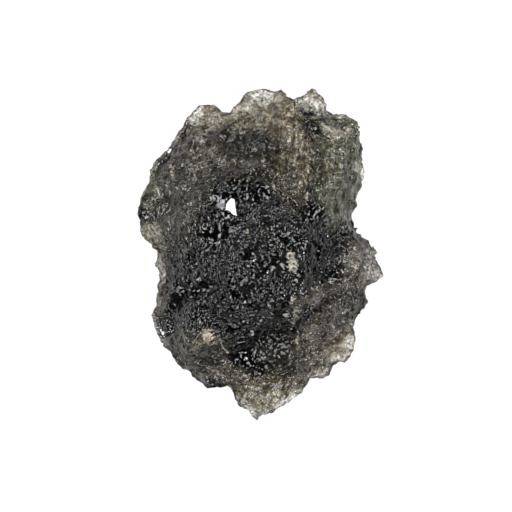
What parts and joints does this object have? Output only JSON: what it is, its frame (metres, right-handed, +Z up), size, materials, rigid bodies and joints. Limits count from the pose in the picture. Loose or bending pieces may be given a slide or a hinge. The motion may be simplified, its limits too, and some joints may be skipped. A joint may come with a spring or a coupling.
{
  "type": "moldavite stone",
  "caption": "Rough natural moldavite: a dark smoky olive glass stone, pitted all over, with thin see-through edges, resting on a small flat spot.",
  "frame": {"origin": "on the ground, under the middle of the stone's box", "axes": "+X to the right and +Y away from the viewer, along the stone's length, as seen looking down on its face; +Z up"},
  "size_m": [0.0248, 0.0334, 0.0109],
  "materials": {
    "moldavite_glass": "etched natural glass, smoky olive brown, nearly black where it is thick and clear at its thin edges"
  },
  "bodies": {
    "root": {"moldavite": "moldavite_glass"}
  },
  "joints": []
}
